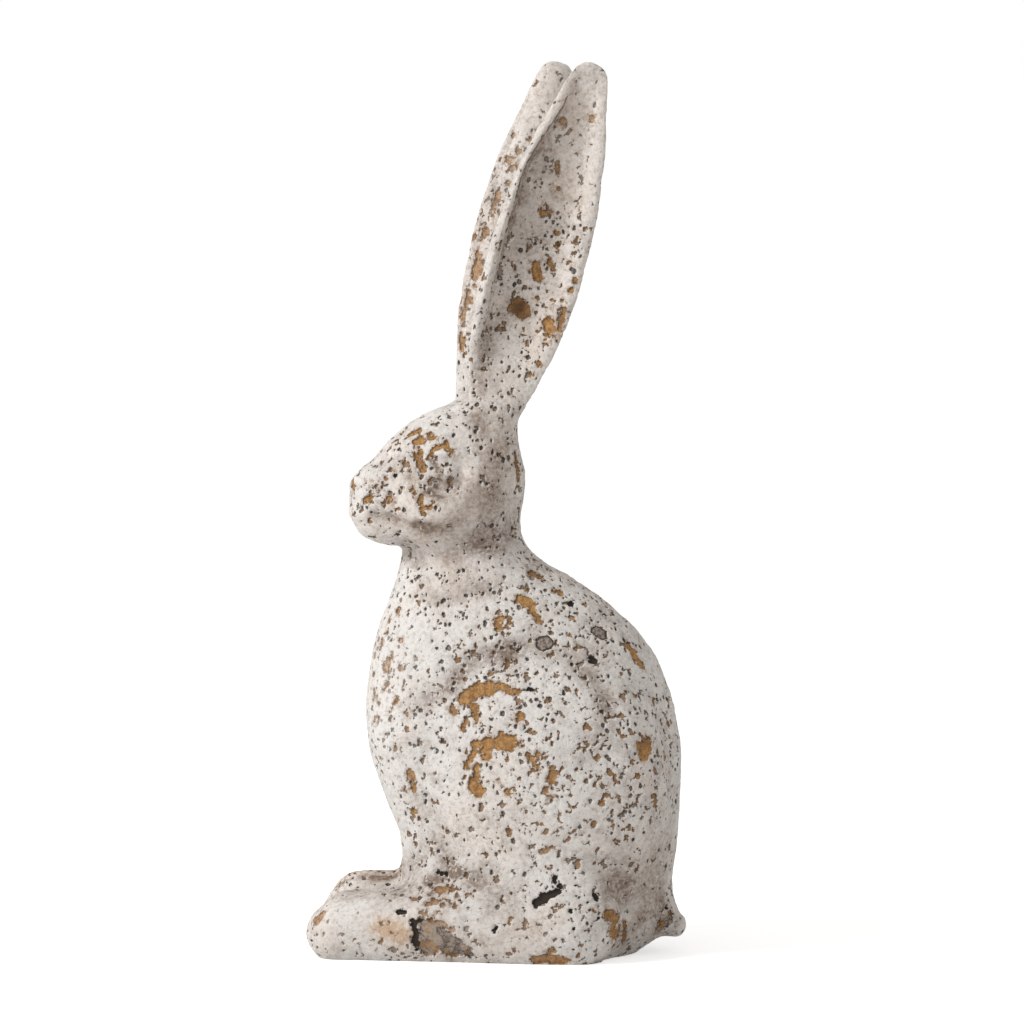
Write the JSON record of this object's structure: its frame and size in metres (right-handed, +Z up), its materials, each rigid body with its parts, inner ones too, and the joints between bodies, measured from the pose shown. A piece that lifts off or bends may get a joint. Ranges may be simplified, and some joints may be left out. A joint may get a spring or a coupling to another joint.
{
  "type": "rabbit statue",
  "caption": "Cast cement rabbit sitting upright on long hind feet, head turned slightly to its left, long straight ears; hollow body open underneath.",
  "frame": {"origin": "middle of the footprint's bounding box, on the ground", "axes": "+Z up through the ears, -Y the way the body faces, +X the rabbit's left side"},
  "size_m": [0.1198, 0.1953, 0.4568],
  "materials": {
    "cement": "chalky white wash over pitted grey cement, chipped back to ochre",
    "steel": "dull drawn wire",
    "mortar": "rough grey mortar"
  },
  "bodies": {
    "root": {"body_casting": "cement", "left_ear": "cement", "right_ear": "cement", "left_ear_rod": "steel", "right_ear_rod": "steel", "head_mortar": "mortar"}
  },
  "joints": []
}
